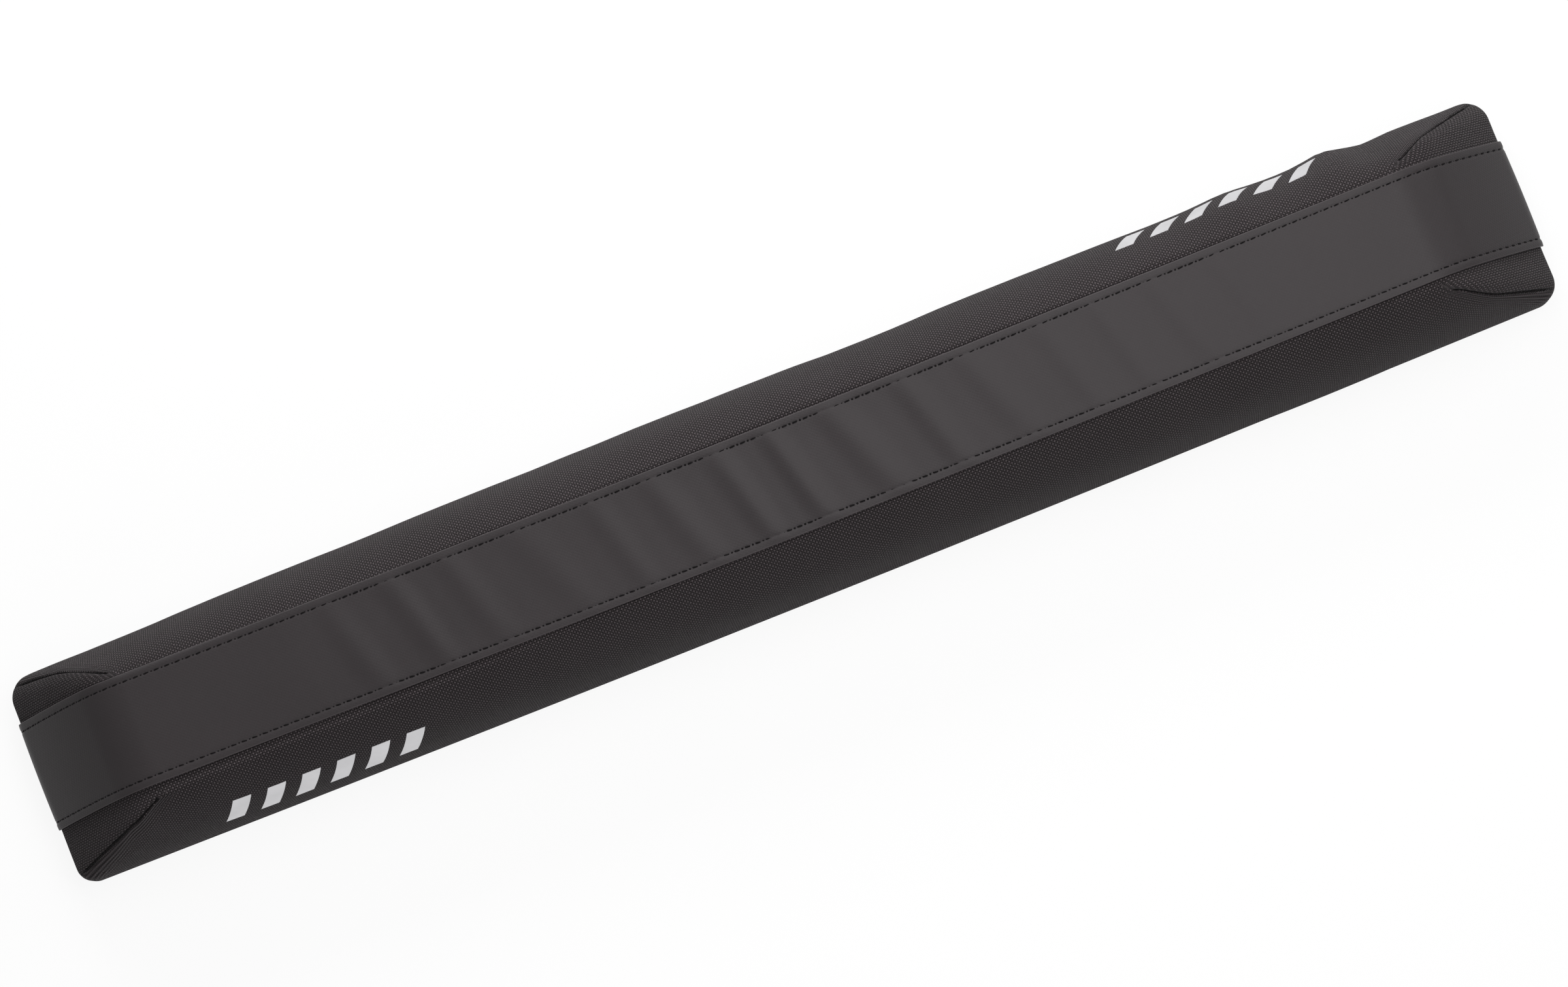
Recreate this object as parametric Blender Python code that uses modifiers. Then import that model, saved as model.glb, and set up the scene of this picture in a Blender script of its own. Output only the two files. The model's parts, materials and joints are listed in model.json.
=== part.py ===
"""Padded saddle for a roof bar: a foam loaf in a woven cover with a grip strip along its top.

The pad lies on a wide roof bar. The bar runs through a channel in its underside, and two flaps
with hook and loop tape close under the bar.

Frame: +X along the pad, +Y across it, +Z up. Z = 0 is the underside of the pad, and X = Y = 0
is its middle. Sizes are in metres, angles in degrees.
"""
import math

import bmesh
import bpy
import numpy as np

# Outer form of the cover
COVER_LENGTH = 0.760
COVER_WIDTH = 0.104
HEIGHT = 0.066
PLATEAU_LENGTH = 0.642
PLATEAU_WIDTH = 0.058
SIDE_BULGE = 0.002

# Slope on the way down from the plateau: (share of the way, slope)
SIDE_SLOPES = ((0.0, 22.0), (0.28, 54.0), (1.0, 84.0))
END_SLOPES = ((0.0, 10.0), (0.12, 40.0), (0.9, 52.0), (1.0, 84.0))

# Corners and the sewn hips that run up from them
CORNER_RADIUS = 0.011
HIP_RADIUS = 0.002
HIP_SPREAD = 0.002
HIP_FADE = 0.085
BOTTOM_ROUND = 0.003

# Layers
COVER_THICKNESS = 0.001
LINER_THICKNESS = 0.0008
STRIP_THICKNESS = 0.0012
FLAP_THICKNESS = 0.0006
TAPE_THICKNESS = 0.0009
GAP = 0.0003

# Grip strip
STRIP_WIDTH = 0.0545
STRIP_EDGE_ROUND = 0.0004

# Channel for the roof bar
CHANNEL_WIDTH = 0.080
CHANNEL_DEPTH = 0.013
CHANNEL_ROUND = 0.005

# Flaps that close under the bar
FLAP_LENGTH = 0.700
FLAP_OVERLAP = 0.050
FLAP_RAMP = 0.009
FLAP_ROOT = 0.004
HEM_WIDTH = 0.007
TAPE_WIDTH = 0.030
TAPE_END_MARGIN = 0.012

# Fineness of the faceted solids
LEVELS = 14
LONG_STEPS = 14
CORNER_STEPS = 4
ROUND_STEPS = 4
PROFILE_STEPS = 96

PAD_COLLECTION = "roof_rack_pad"
CUTTER_COLLECTION = "cutters"


def clear_scene():
    for obj in list(bpy.data.objects):
        bpy.data.objects.remove(obj, do_unlink=True)


def make_collection(name):
    collection = bpy.data.collections.new(name)
    bpy.context.scene.collection.children.link(collection)
    return collection


def make_material(name, colour, roughness, metallic=0.0):
    material = bpy.data.materials.new(name)
    material.use_nodes = True
    shader = material.node_tree.nodes["Principled BSDF"]
    shader.inputs["Base Color"].default_value = (*colour, 1.0)
    shader.inputs["Roughness"].default_value = roughness
    shader.inputs["Metallic"].default_value = metallic
    material.diffuse_color = (*colour, 1.0)
    return material


def add_object(bm, name, collection, material=None):
    """Turn a bmesh into a named object with faces that point outwards."""
    bmesh.ops.recalc_face_normals(bm, faces=bm.faces)
    mesh = bpy.data.meshes.new(name)
    bm.to_mesh(mesh)
    bm.free()
    obj = bpy.data.objects.new(name, mesh)
    collection.objects.link(obj)
    if material:
        mesh.materials.append(material)
    return obj


def add_cutter(obj):
    obj.hide_render = True
    obj.display_type = "WIRE"
    return obj


def subtract(obj, cutter):
    modifier = obj.modifiers.new("cut_" + cutter.name, "BOOLEAN")
    modifier.operation = "DIFFERENCE"
    modifier.object = cutter


def slope_curve(run, drop, slopes):
    """Points (out, down) of a stuffed slope, from the plateau's edge to the top of the foot."""
    way = (np.arange(PROFILE_STEPS) + 0.5) / PROFILE_STEPS
    shares, degrees = zip(*slopes)
    heading = np.radians(np.interp(way, shares, degrees))
    out = np.concatenate(([0.0], np.cumsum(np.cos(heading))))
    down = np.concatenate(([0.0], np.cumsum(np.sin(heading))))
    return out * run / out[-1], down * drop / down[-1]


SLOPE_DROP = HEIGHT - CHANNEL_DEPTH
SIDE_CURVE = slope_curve((COVER_WIDTH - PLATEAU_WIDTH) / 2, SLOPE_DROP, SIDE_SLOPES)
END_CURVE = slope_curve((COVER_LENGTH - PLATEAU_LENGTH) / 2, SLOPE_DROP, END_SLOPES)


def out_at(curve, down):
    return float(np.interp(down, curve[1], curve[0]))


def level_drops():
    """Depths below the plateau at which the form is set, closer together at the top and foot."""
    return [SLOPE_DROP * (1 - math.cos(math.pi * step / LEVELS)) / 2 for step in range(LEVELS + 1)]


def level_ring(down, inset, height):
    """One level of the loaf: a rounded rectangle whose long sides swell away from the hips."""
    share = min(down / SLOPE_DROP, 1.0)
    half_x = PLATEAU_LENGTH / 2 + out_at(END_CURVE, down) - inset
    half_y = PLATEAU_WIDTH / 2 + out_at(SIDE_CURVE, down) - inset
    foot_y = COVER_WIDTH / 2
    along_hip = out_at(END_CURVE, down) / END_CURVE[0][-1]
    hip_start = PLATEAU_WIDTH / 2 + (HIP_SPREAD if down else 0.0)
    hip_y = min(half_y, hip_start + (foot_y - hip_start) * along_hip)
    radius = HIP_RADIUS + (CORNER_RADIUS - HIP_RADIUS) * share - inset * share

    points = []
    for corner in range(4):
        side_x = 1 if corner in (0, 3) else -1
        side_y = 1 if corner in (0, 1) else -1
        for step in range(CORNER_STEPS + 1):
            angle = math.pi / 2 * (corner + step / CORNER_STEPS)
            points.append((side_x * (half_x - radius) + radius * math.cos(angle),
                           side_y * (hip_y - radius) + radius * math.sin(angle)))
        if corner in (0, 2):
            span = half_x - radius
            for step in range(1, LONG_STEPS):
                x = side_x * span * math.cos(math.pi * step / LONG_STEPS)
                fade = min((span - abs(x)) / HIP_FADE, 1.0)
                swell = (half_y - hip_y) * (1 - (1 - fade) ** 2)
                bulge = SIDE_BULGE * share * (1 - (x / span) ** 2)
                points.append((x, side_y * (hip_y + swell + bulge)))
    return [(x, y, height) for x, y in points]


def loaf(shrink=0.0):
    """Closed hipped loaf, its whole surface moved inwards by shrink."""
    rings = []
    for down in level_drops():
        rings.append(level_ring(down, 0.0, HEIGHT - down))
    for step in range(ROUND_STEPS + 1):
        angle = math.pi / 2 * step / ROUND_STEPS
        inset = BOTTOM_ROUND * (1 - math.cos(angle))
        height = BOTTOM_ROUND * (1 - math.sin(angle))
        rings.append(level_ring(SLOPE_DROP, inset, height))

    bm = bmesh.new()
    loops = [[bm.verts.new(point) for point in ring] for ring in rings]
    for upper, lower in zip(loops, loops[1:]):
        for i, j in zip(range(len(upper)), list(range(1, len(upper))) + [0]):
            bm.faces.new((upper[i], upper[j], lower[j], lower[i]))
    bm.faces.new(loops[0])
    bm.faces.new(loops[-1])
    bmesh.ops.recalc_face_normals(bm, faces=bm.faces)
    bm.normal_update()
    if shrink:
        moves = [(v, v.normal * v.calc_shell_factor() * shrink) for v in bm.verts]
        for vert, move in moves:
            vert.co -= move
    return bm


def prism(outline, length):
    """Solid of one cross-section, a list of (y, z), centred along X."""
    bm = bmesh.new()
    start = bm.faces.new([bm.verts.new((-length / 2, y, z)) for y, z in outline])
    grown = bmesh.ops.extrude_face_region(bm, geom=[start])["geom"]
    moved = [item for item in grown if isinstance(item, bmesh.types.BMVert)]
    bmesh.ops.translate(bm, verts=moved, vec=(length, 0.0, 0.0))
    return bm


def arch(half_width, top, bottom, radius):
    """Open path of (y, z) up one wall of the channel, across its roof and down the other."""
    path = [(-half_width, bottom)]
    for side in (-1, 1):
        for step in range(ROUND_STEPS + 1):
            turn = step / ROUND_STEPS if side < 0 else 1 - step / ROUND_STEPS
            angle = math.pi / 2 * turn
            path.append((side * (half_width - radius + radius * math.cos(angle)),
                         top - radius + radius * math.sin(angle)))
    path.append((half_width, bottom))
    return path


def channel_cutter(name, clearance, bottom, collection):
    """Tool that cuts the channel, larger than the liner's inside by the clearance."""
    outline = arch(CHANNEL_WIDTH / 2 + clearance, CHANNEL_DEPTH + clearance, bottom,
                   CHANNEL_ROUND + clearance)
    return add_cutter(add_object(prism(outline, COVER_LENGTH * 1.2), name, collection))


def build_cover(pad, cutters, material):
    """Woven cover, sewn at its four hips and open along the channel."""
    cover = add_object(loaf(), "cover_shell", pad, material)
    wall = cover.modifiers.new("cloth", "SOLIDIFY")
    wall.thickness = COVER_THICKNESS
    wall.offset = -1.0
    wall.use_even_offset = True
    subtract(cover, channel_cutter("cover_slot", 0.0, -BOTTOM_ROUND, cutters))
    return cover


def build_core(pad, cutters, material):
    """Closed-cell foam that fills the cover and is notched for the bar."""
    core = add_object(loaf(COVER_THICKNESS + GAP), "foam_core", pad, material)
    clearance = LINER_THICKNESS + GAP
    subtract(core, channel_cutter("core_notch", clearance, -BOTTOM_ROUND, cutters))
    return core


def build_liner(pad, material):
    """Cloth that lines the channel and stands on the cover's bottom edges."""
    bottom = COVER_THICKNESS + GAP
    inner = arch(CHANNEL_WIDTH / 2, CHANNEL_DEPTH, bottom, CHANNEL_ROUND)
    outer = arch(CHANNEL_WIDTH / 2 + LINER_THICKNESS, CHANNEL_DEPTH + LINER_THICKNESS, bottom,
                 CHANNEL_ROUND + LINER_THICKNESS)
    nose = out_at(END_CURVE, HEIGHT - CHANNEL_DEPTH - LINER_THICKNESS)
    length = PLATEAU_LENGTH + 2 * (nose - 2 * COVER_THICKNESS - GAP)
    return add_object(prism(inner + outer[::-1], length), "channel_liner", pad, material)


def strip_path():
    """Points (x, z) of the cover's ridge line from one end of the strip to the other."""
    drops = [down for down in level_drops() if down < SLOPE_DROP - COVER_THICKNESS]
    half = [(PLATEAU_LENGTH / 2 + out_at(END_CURVE, down), HEIGHT - down) for down in drops]
    return [(-x, z) for x, z in reversed(half)] + half


def build_strip(pad, material):
    """Grip strip, sewn on along the plateau and down both ends."""
    bm = bmesh.new()
    near = [bm.verts.new((x, -STRIP_WIDTH / 2, z)) for x, z in strip_path()]
    edges = [bm.edges.new(pair) for pair in zip(near, near[1:])]
    grown = bmesh.ops.extrude_edge_only(bm, edges=edges)["geom"]
    moved = [item for item in grown if isinstance(item, bmesh.types.BMVert)]
    bmesh.ops.translate(bm, verts=moved, vec=(0.0, STRIP_WIDTH, 0.0))
    bmesh.ops.recalc_face_normals(bm, faces=bm.faces)
    bm.normal_update()
    if sum(face.normal.z for face in bm.faces) < 0:
        bmesh.ops.reverse_faces(bm, faces=bm.faces)
        bm.normal_update()
    moves = [(v, v.normal * v.calc_shell_factor() * GAP) for v in bm.verts]
    for vert, move in moves:
        vert.co += move
    mesh = bpy.data.meshes.new("grip_strip")
    bm.to_mesh(mesh)
    bm.free()
    strip = bpy.data.objects.new("grip_strip", mesh)
    pad.objects.link(strip)
    mesh.materials.append(material)
    body = strip.modifiers.new("ply", "SOLIDIFY")
    body.thickness = STRIP_THICKNESS
    body.offset = 1.0
    body.use_even_offset = True
    edge = strip.modifiers.new("edge", "BEVEL")
    edge.width = STRIP_EDGE_ROUND
    edge.segments = 1
    edge.limit_method = "ANGLE"
    edge.angle_limit = math.radians(60)
    return strip


def layer_bottoms():
    """Undersides of the stacked layers that close the channel, from the floor up."""
    loop = FLAP_THICKNESS + GAP
    hook = loop + TAPE_THICKNESS + GAP
    upper_flap = hook + TAPE_THICKNESS + GAP
    return {"loop": loop, "hook": hook, "upper_flap": upper_flap}


def build_near_flap(pad, material):
    """Lower flap: flat from its seam on the near side to its turned hem."""
    root = -CHANNEL_WIDTH / 2 + GAP
    free = FLAP_OVERLAP / 2
    hem_start = free - HEM_WIDTH
    outline = [(root, 0.0), (free, 0.0), (free, 2 * FLAP_THICKNESS),
               (hem_start, 2 * FLAP_THICKNESS), (hem_start, FLAP_THICKNESS),
               (root, FLAP_THICKNESS)]
    return add_object(prism(outline, FLAP_LENGTH), "near_flap", pad, material)


def build_far_flap(pad, material):
    """Upper flap: from its seam on the far side it climbs over the lower flap to its hem."""
    lift = layer_bottoms()["upper_flap"]
    root = CHANNEL_WIDTH / 2 - GAP
    foot = root - FLAP_ROOT
    crest = foot - FLAP_RAMP
    free = -FLAP_OVERLAP / 2
    hem_start = free + HEM_WIDTH
    outline = [(root, 0.0), (root, FLAP_THICKNESS), (foot, FLAP_THICKNESS),
               (crest, lift + FLAP_THICKNESS), (hem_start, lift + FLAP_THICKNESS),
               (hem_start, lift + 2 * FLAP_THICKNESS), (free, lift + 2 * FLAP_THICKNESS),
               (free, lift), (crest, lift), (foot, 0.0)]
    return add_object(prism(outline, FLAP_LENGTH), "far_flap", pad, material)


def build_tape(name, bottom, pad, material):
    """Hook or loop tape, sewn to its flap inside both hems."""
    length = FLAP_LENGTH - 2 * TAPE_END_MARGIN
    half = TAPE_WIDTH / 2
    outline = [(-half, bottom), (half, bottom), (half, bottom + TAPE_THICKNESS),
               (-half, bottom + TAPE_THICKNESS)]
    return add_object(prism(outline, length), name, pad, material)


def build_pad():
    clear_scene()
    pad = make_collection(PAD_COLLECTION)
    cutters = make_collection(CUTTER_COLLECTION)
    build_cover(pad, cutters, make_material("cover_weave", (0.030, 0.027, 0.028), 0.85))
    build_core(pad, cutters, make_material("core_foam", (0.16, 0.16, 0.17), 0.95))
    build_liner(pad, make_material("liner_cloth", (0.024, 0.022, 0.023), 0.9))
    build_strip(pad, make_material("strip_rubber", (0.048, 0.043, 0.045), 0.55))
    build_near_flap(pad, make_material("near_flap_cloth", (0.026, 0.024, 0.025), 0.88))
    build_far_flap(pad, make_material("far_flap_cloth", (0.028, 0.025, 0.026), 0.88))
    heights = layer_bottoms()
    build_tape("loop_tape", heights["loop"], pad, make_material("loop_pile", (0.02,) * 3, 0.95))
    build_tape("hook_tape", heights["hook"], pad, make_material("hook_nylon", (0.025,) * 3, 0.6))


build_pad()
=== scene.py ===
"""Looks of the roof rack pad: its stuffed cover, sewn grip strip, flap closure and finishes.

Sizes are in metres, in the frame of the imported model: +X along the pad, +Y across it, +Z up.
"""
import json
import math

import bpy
import numpy as np
from mathutils import Matrix, Vector, noise

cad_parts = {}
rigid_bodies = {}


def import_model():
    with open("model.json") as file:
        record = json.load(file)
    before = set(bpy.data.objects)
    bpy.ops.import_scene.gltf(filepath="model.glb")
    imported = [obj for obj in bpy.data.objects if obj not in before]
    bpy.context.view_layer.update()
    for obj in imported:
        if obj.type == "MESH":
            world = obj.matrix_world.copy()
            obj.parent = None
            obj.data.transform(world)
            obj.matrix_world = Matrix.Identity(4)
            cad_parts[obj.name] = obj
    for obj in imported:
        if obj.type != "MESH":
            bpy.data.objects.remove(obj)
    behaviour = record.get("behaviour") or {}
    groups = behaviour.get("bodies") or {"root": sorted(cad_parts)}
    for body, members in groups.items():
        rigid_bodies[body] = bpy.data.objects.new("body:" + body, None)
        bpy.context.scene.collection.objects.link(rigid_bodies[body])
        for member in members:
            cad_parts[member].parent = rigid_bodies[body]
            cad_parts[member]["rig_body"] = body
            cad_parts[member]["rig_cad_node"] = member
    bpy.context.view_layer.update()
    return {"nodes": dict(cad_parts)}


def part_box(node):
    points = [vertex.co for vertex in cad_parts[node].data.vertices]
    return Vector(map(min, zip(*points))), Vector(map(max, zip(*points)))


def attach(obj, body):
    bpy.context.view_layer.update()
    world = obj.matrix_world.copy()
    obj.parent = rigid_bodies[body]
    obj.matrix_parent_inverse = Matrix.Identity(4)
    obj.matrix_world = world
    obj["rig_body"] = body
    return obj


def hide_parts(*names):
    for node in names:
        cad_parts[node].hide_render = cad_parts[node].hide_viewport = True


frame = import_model()

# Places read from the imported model
COVER_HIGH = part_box("cover_shell")[1]
STRIP_LOW, STRIP_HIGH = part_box("grip_strip")
LINER_LOW, LINER_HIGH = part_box("channel_liner")
NEAR_FLAP_LOW, NEAR_FLAP_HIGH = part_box("near_flap")
FAR_FLAP_LOW, FAR_FLAP_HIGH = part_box("far_flap")

# Layers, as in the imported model
COVER_THICKNESS = 0.001
LINER_THICKNESS = 0.0008
STRIP_THICKNESS = 0.0012
FLAP_THICKNESS = 0.0006
GAP = 0.0003

# Form of the cover
TOP = COVER_HIGH.z
HALF_X = COVER_HIGH.x
FOOT_Z = LINER_HIGH.z - LINER_THICKNESS
SIDE_BULGE = 0.002
FOOT_HALF_Y = COVER_HIGH.y - SIDE_BULGE
PLATEAU_HALF_X = 0.321
PLATEAU_HALF_Y = 0.029
CORNER_RADIUS = 0.011
HIP_RADIUS = 0.0016
HIP_SPREAD_DROP = 0.0014
HIP_SLIDE_REACH = 0.022
HIP_SLIDE_DROP = 0.0012
HIP_SEAM_LOW_Z = 0.020
HIP_FADE = 0.085
BOTTOM_ROUND = 0.003
CHANNEL_HALF_Y = LINER_HIGH.y - LINER_THICKNESS
CHANNEL_ROUND = 0.005
SIDE_SLOPES = ((0.0, 15.0), (0.27, 53.0), (1.0, 85.0))
END_SLOPES = ((0.0, 1.0), (0.30, 43.0), (0.9, 53.0), (1.0, 84.0))
PROFILE_STEPS = 192

# Each hip, by its end and side: how far out it starts, how far its seam lies along the side
# from the crease at the top and at the foot, the radius of its corner at the foot, and how far
# below the plateau its seam begins
HIPS = {
    (-1.0, -1.0): (0.0009, 0.0020, -0.0031, 0.0085, 0.0003),
    (-1.0, 1.0): (0.0060, 0.0080, 0.0, 0.0115, 0.0024),
    (1.0, -1.0): (0.0044, 0.0070, -0.0021, 0.0110, 0.0022),
    (1.0, 1.0): (0.0026, 0.0050, 0.0023, 0.0115, 0.0018),
}

# Fineness of the cover
SLOPE_LEVELS = 30
FOOT_LEVELS = 4
ROUND_LEVELS = 4
TUCK_LEVELS = 3
TUCK_SHARE = 0.93
SEAM_STEP = 0.0005
SEAM_STEPS = 18
NEAR_REACH = 0.065
STEP_GROWTH = 1.16
MID_STEPS = 46
LEG_STEPS = 10
END_STEPS = 14
LEVEL_CROWDING = 0.7
SLIVER_AREA = 1e-10
CORE_EASE = 0.0017

# Stuffing
SWELL_PRESSURE = 4.0
SWELL_FRAMES = 20
SWELL_CAP = 0.0016
HELD_ABOVE_FOOT = 0.001
CLOTH_SETTINGS = {
    "quality": 4,
    "mass": 0.3,
    "tension_stiffness": 4.0,
    "compression_stiffness": 4.0,
    "shear_stiffness": 2.0,
    "bending_stiffness": 0.5,
    "use_pressure": True,
    "uniform_pressure_force": SWELL_PRESSURE,
    "vertex_group_mass": "sewn",
}

# Hip seams and the ribs of cloth beside them
SEAM_DEPTH = 0.0011
SEAM_WIDTH = 0.00075
SEAM_FADE = 0.0008
SEAM_FOOT_FADE = 0.012
SEAM_POCKET = 0.35
SEAM_POCKET_DROP = 0.0025
HIP_LEAN = 0.72
RIB_PITCH = 0.00150
RIB_START = 0.0008
RIB_REACH = 0.0088
SEAM_SHADE = 0.00060

# Unevenness of the stuffed cloth, calmed near the seams and the foot
SLOW_SWELL = 0.0006
QUICK_SWELL = 0.00016
CALM_FROM_SEAM = 0.02
CALM_FROM_FOOT = 0.01
DENT_DROP = 0.015

# Places where the long sides bulge or dip: (x, side, height, width)
SIDE_DENTS = (
    (0.298, 1, 0.0022, 0.011),
    (0.318, 1, -0.0013, 0.010),
    (0.247, 1, 0.0015, 0.015),
    (0.062, 1, -0.0014, 0.036),
    (-0.044, 1, 0.0007, 0.030),
    (-0.155, 1, 0.0007, 0.035),
    (-0.300, -1, -0.0004, 0.013),
    (-0.090, -1, -0.0003, 0.060),
    (0.230, -1, 0.0008, 0.080),
)

# Grip strip
STRIP_HALF_Y = STRIP_HIGH.y
STITCH_INSET = 0.0040
LIP_HEIGHT = 0.00014
STRIP_GROOVE_DEPTH = 0.00030
STRIP_GROOVE_WIDTH = 0.0007
RIPPLE_LENGTH = 0.0322
RIPPLE_HEIGHT = 0.00058
RIPPLE_SLANT = 0.32
RIPPLE_CREST = 0.0136
RIPPLE_FROM = -0.245
RIPPLE_TO = 0.262
RIPPLE_FADE = 0.06
STRIP_CROWN = 0.0004
STRIP_STEPS_PER_STITCH = 4
STRIP_DRIFT_LEFT = 0.0034
STRIP_DRIFT_RIGHT = 0.0007

# Sewing
STITCH_PITCH = 0.00527
HIP_STITCH_PITCH = 0.0029
HEM_STITCH_PITCH = 0.0036
THREAD = 0.00080
HIP_THREAD = 0.00070
NEEDLE_HOLE = 0.00120
STITCH_SHARE = 0.50
HIP_STITCH_SHARE = 0.80
HEM_STITCH_SHARE = 0.72
HIP_STITCH_LIFT = 0.0006

# Closure
HEM_WIDTH = 0.007
HEM_STITCH_INSET = 0.0052
TAPE_STITCH_INSET = 0.002
FLAP_FOOT = 0.004
FLAP_CREST = 0.013
TAPE_ROUND = 0.0002
THREAD_SUNK = 0.00012

# Silver transfer bars
BAR_COUNT = 6
BAR_COLUMNS = 10
BAR_ROWS = 14
BAR_START_Y = 0.08
BAR_WIDTH = 0.0092
BAR_PITCH = 0.0176
BAR_LEAN = 0.0085
NEAR_BAR_LOW_Z = 0.0300
FAR_BAR_LOW_Z = 0.0345
BAR_HIGH_Z = 0.0500
FILM_THICKNESS = 0.00012
NEAR_BARS_X = -0.2505
FAR_BARS_X = 0.2410

# Colours, thread counts and the reliefs of the weaves
COVER_COLOUR = (0.0510, 0.0436, 0.0458)
LINER_COLOUR = (0.030, 0.026, 0.027)
FLAP_COLOUR = (0.0360, 0.0308, 0.0324)
STRIP_COLOUR = (0.0290, 0.0251, 0.0264)
THREAD_COLOUR = (0.0040, 0.0034, 0.0036)
FOAM_COLOUR = (0.16, 0.16, 0.17)
LOOP_COLOUR = (0.020, 0.0185, 0.019)
HOOK_COLOUR = (0.030, 0.028, 0.029)
FILM_COLOUR = (0.64, 0.635, 0.65)
COVER_THREADS = 900.0
LINER_THREADS = 1800.0
STRIP_THREADS = 780.0
COVER_RELIEF = 0.00045
LINER_RELIEF = 0.00015
FLAP_RELIEF = 0.0003
CLOTH_ROUGHNESS = 0.80
STRIP_BIAS = math.radians(40.0)
# Width of the painted highlight along both edges of the grip strip
STRIP_HIGHLIGHT_WIDTH = 0.0007

# Camera, from the photograph's frame
IMAGE_WIDTH_PX = 2400.0
SENSOR_MM = 36.0
PIXELS_PER_METRE = 3262.0
CAMERA_DISTANCE = 2.8
CAMERA_ELEVATION = 85.0
PAD_TURN = 21.72
PAD_SHIFT_PX = (-8.1, 18.5)

ROOT = "root"


def slope_curve(run, drop, slopes):
    """Points (out, down) of a stuffed slope, from the plateau's edge to the top of the foot."""
    way = (np.arange(PROFILE_STEPS) + 0.5) / PROFILE_STEPS
    shares, degrees = zip(*slopes)
    heading = np.radians(np.interp(way, shares, degrees))
    out = np.concatenate(([0.0], np.cumsum(np.cos(heading))))
    down = np.concatenate(([0.0], np.cumsum(np.sin(heading))))
    return out * run / out[-1], down * drop / down[-1]


def travel(curve):
    """Distance along a slope curve at each of its points."""
    return np.concatenate(([0.0], np.cumsum(np.hypot(np.diff(curve[0]), np.diff(curve[1])))))


SLOPE_DROP = TOP - FOOT_Z
SIDE_CURVE = slope_curve(FOOT_HALF_Y - PLATEAU_HALF_Y, SLOPE_DROP, SIDE_SLOPES)
END_CURVE = slope_curve(HALF_X - PLATEAU_HALF_X, SLOPE_DROP, END_SLOPES)
SIDE_TRAVEL = travel(SIDE_CURVE)
END_TRAVEL = travel(END_CURVE)

# The cover's ridge line, from the middle to one end: distance along it, place and tilt
RIDGE_TRAVEL = np.concatenate(([0.0], PLATEAU_HALF_X + END_TRAVEL))
RIDGE_X = np.concatenate(([0.0], PLATEAU_HALF_X + END_CURVE[0]))
RIDGE_Z = TOP - np.concatenate(([0.0], END_CURVE[1]))
RIDGE_TILT = np.interp(RIDGE_TRAVEL, RIDGE_TRAVEL[1:],
                       np.arctan2(np.gradient(END_CURVE[1]), np.gradient(END_CURVE[0])))
RIDGE_TILT[:2] = 0.0


# Modelling helpers

def only(obj):
    """Select obj alone and make it active."""
    bpy.ops.object.select_all(action="DESELECT")
    obj.select_set(True)
    bpy.context.view_layer.objects.active = obj
    return obj


def apply_all(obj):
    only(obj)
    for modifier in list(obj.modifiers):
        bpy.ops.object.modifier_apply(modifier=modifier.name)


def edit_all(obj, action="SELECT"):
    """Open obj in edit mode with all of it selected, or none of it."""
    only(obj)
    bpy.ops.object.mode_set(mode="EDIT")
    bpy.ops.mesh.select_all(action=action)


def smooth(obj, degrees=50.0):
    only(obj)
    bpy.ops.object.shade_smooth_by_angle(angle=math.radians(degrees))


def join(parts):
    """Join the parts into the first of them."""
    only(parts[0])
    for part in parts:
        part.select_set(True)
    bpy.ops.object.join()
    return parts[0]


def settle(obj):
    """Bring a finished piece to the origin, with its place in its mesh, and let it ride."""
    only(obj)
    bpy.ops.object.transform_apply(location=True, rotation=True, scale=True)
    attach(obj, ROOT)
    return obj


def coordinates(obj):
    co = np.empty(len(obj.data.vertices) * 3, np.float32)
    obj.data.vertices.foreach_get("co", co)
    return co.reshape(-1, 3).astype(float)


def place_vertices(obj, points):
    obj.data.vertices.foreach_set("co", np.asarray(points, np.float32).ravel())
    obj.data.update()


def vertex_normals(obj):
    normals = np.empty(len(obj.data.vertices) * 3, np.float32)
    obj.data.vertex_normals.foreach_get("vector", normals)
    return normals.reshape(-1, 3).astype(float)


def add_grid(name, columns, rows):
    """Flat grid with its corners at -1 and 1, ready to be draped."""
    bpy.ops.object.select_all(action="DESELECT")
    bpy.ops.mesh.primitive_grid_add(x_subdivisions=columns, y_subdivisions=rows, size=2.0)
    grid = bpy.context.object
    grid.name = name
    grid.data.name = name
    return grid


def grid_cells(obj, columns, rows):
    """Column and row of each vertex of a flat grid."""
    co = coordinates(obj)
    column = np.rint((co[:, 0] + 1) / 2 * columns).astype(int)
    row = np.rint((co[:, 1] + 1) / 2 * rows).astype(int)
    return column, row, co


def thicken(obj, thickness, offset=-1.0):
    wall = obj.modifiers.new("thickness", "SOLIDIFY")
    wall.thickness = thickness
    wall.offset = offset
    wall.use_even_offset = True
    return wall


def round_edges(obj, width, segments=2, degrees=60.0):
    edge = obj.modifiers.new("rounding", "BEVEL")
    edge.width = width
    edge.segments = segments
    edge.limit_method = "ANGLE"
    edge.angle_limit = math.radians(degrees)
    return edge


def corner_vertices(obj):
    """Index of the vertex at each face corner."""
    corners = np.empty(len(obj.data.loops), np.int32)
    obj.data.loops.foreach_get("vertex_index", corners)
    return corners


def write_uv(obj, uv):
    """UV map from an array with one row for each face corner."""
    layer = obj.data.uv_layers.get("cloth") or obj.data.uv_layers.new(name="cloth")
    layer.data.foreach_set("uv", np.asarray(uv, np.float32).ravel())


def ease(t):
    t = np.clip(t, 0.0, 1.0)
    return t * t * (3 - 2 * t)


# Shape of the cover

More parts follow.
